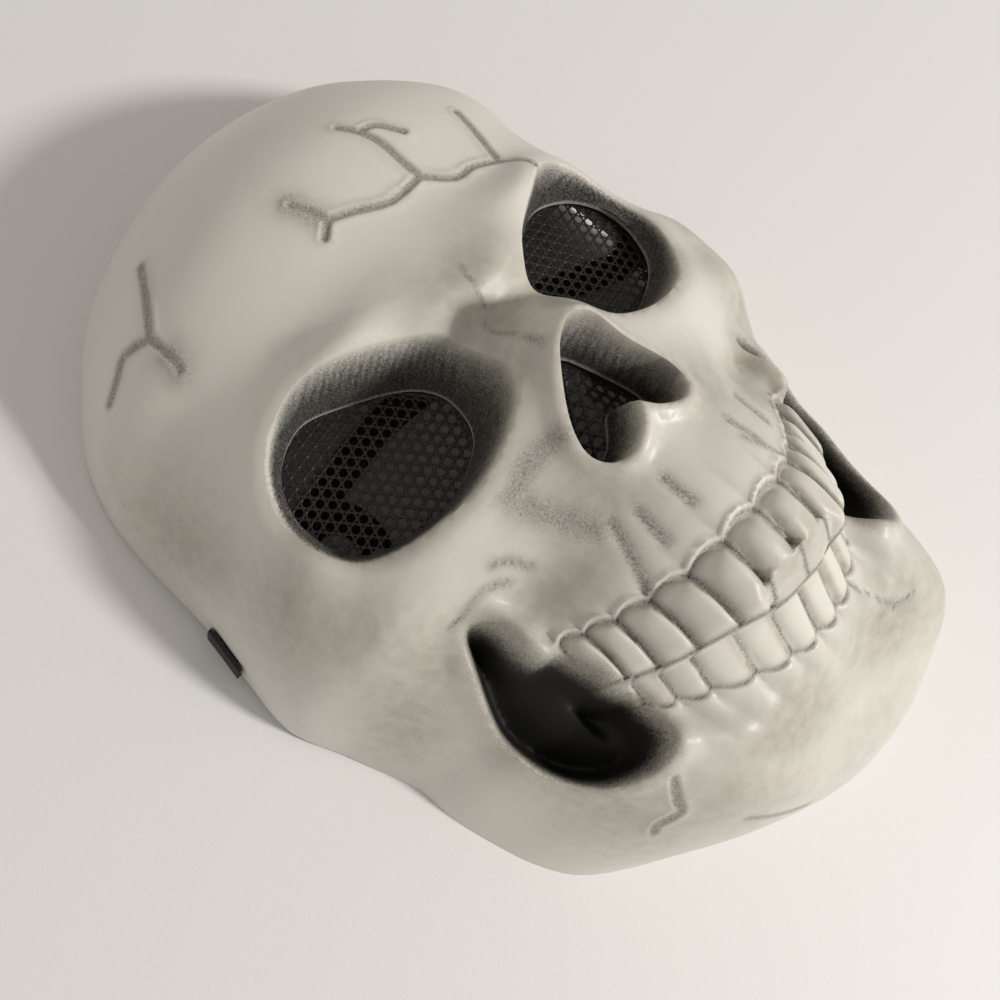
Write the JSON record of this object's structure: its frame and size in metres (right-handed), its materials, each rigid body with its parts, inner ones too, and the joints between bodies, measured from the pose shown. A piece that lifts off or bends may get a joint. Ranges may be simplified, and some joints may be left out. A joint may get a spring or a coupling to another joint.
{
  "type": "skull mask",
  "caption": "Moulded full-face skull mask with perforated eye and nose sheets and an elastic strap, lying face up on its rim.",
  "frame": {"origin": "middle of the mask's bounding box, on the surface that its rim rests on", "axes": "+Z out of the face, +Y towards the crown, +X towards the wearer's left"},
  "size_m": [0.1824, 0.2566, 0.1025],
  "materials": {
    "bone_plastic": "off-white moulded plastic, semi-gloss, with grey and olive airbrushed shading in the hollows and cracks",
    "perforated_sheet": "glossy black sheet perforated with round holes",
    "elastic": "black woven elastic"
  },
  "bodies": {
    "root": {"shell": "bone_plastic", "eye_mesh_right": "perforated_sheet", "eye_mesh_left": "perforated_sheet", "nose_mesh": "perforated_sheet", "head_strap": "elastic", "strap_anchor_right": "elastic", "strap_anchor_left": "elastic"}
  },
  "joints": []
}
